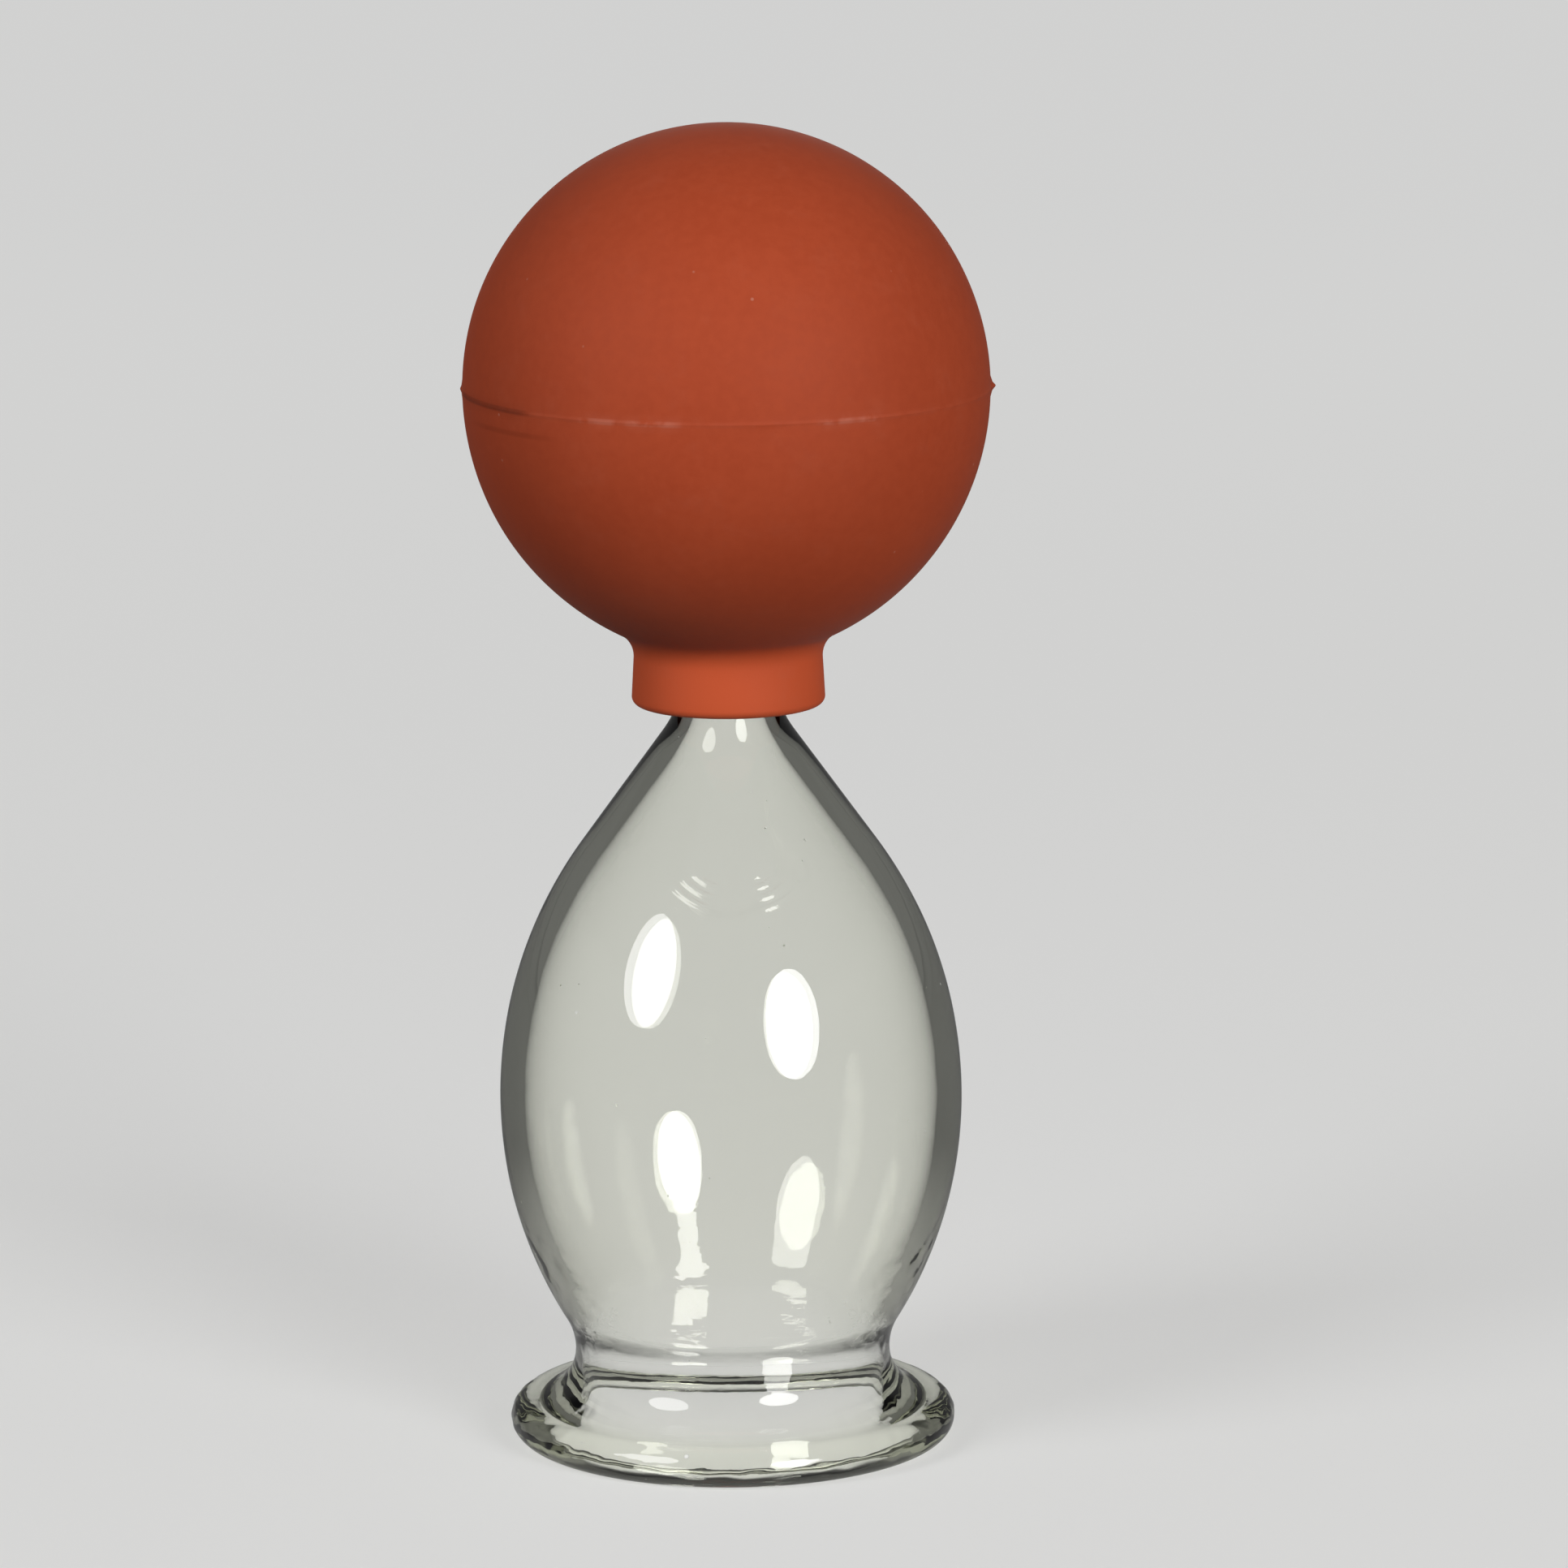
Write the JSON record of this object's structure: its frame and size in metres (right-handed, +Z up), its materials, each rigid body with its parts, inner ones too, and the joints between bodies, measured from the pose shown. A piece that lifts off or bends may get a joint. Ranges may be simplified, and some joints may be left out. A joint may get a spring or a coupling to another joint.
{
  "type": "cupping glass",
  "caption": "Blown glass suction cup with a rolled rim, narrow waist and onion-shaped belly, topped by a squeezable hollow rubber bulb pushed onto its neck.",
  "frame": {"origin": "centre of the rim, on the plane that it stands on", "axes": "+Z up along the axis of the glass and the bulb; X and Y are alike"},
  "size_m": [0.0586, 0.0586, 0.1476],
  "materials": {
    "clear_glass": "clear, fire polished, faintly yellow-green where it is thick",
    "red_rubber": "matt moulded natural rubber"
  },
  "bodies": {
    "glass": {"glass_cup": "clear_glass"},
    "bulb": {"bulb_lower_half": "red_rubber"},
    "bulb_top": {"bulb_upper_half": "red_rubber"}
  },
  "joints": [
    {"name": "bulb_pull_off", "type": "slide", "parent": "glass", "child": "bulb", "axis": [0, 0, 1], "range_m": [0, 0.03]},
    {"name": "bulb_squeeze", "type": "slide", "parent": "bulb", "child": "bulb_top", "axis": [0, 0, -1], "range_m": [0, 0.018], "stiffness_N_per_m": 1300, "deforming": ["bulb_upper_half"]}
  ]
}
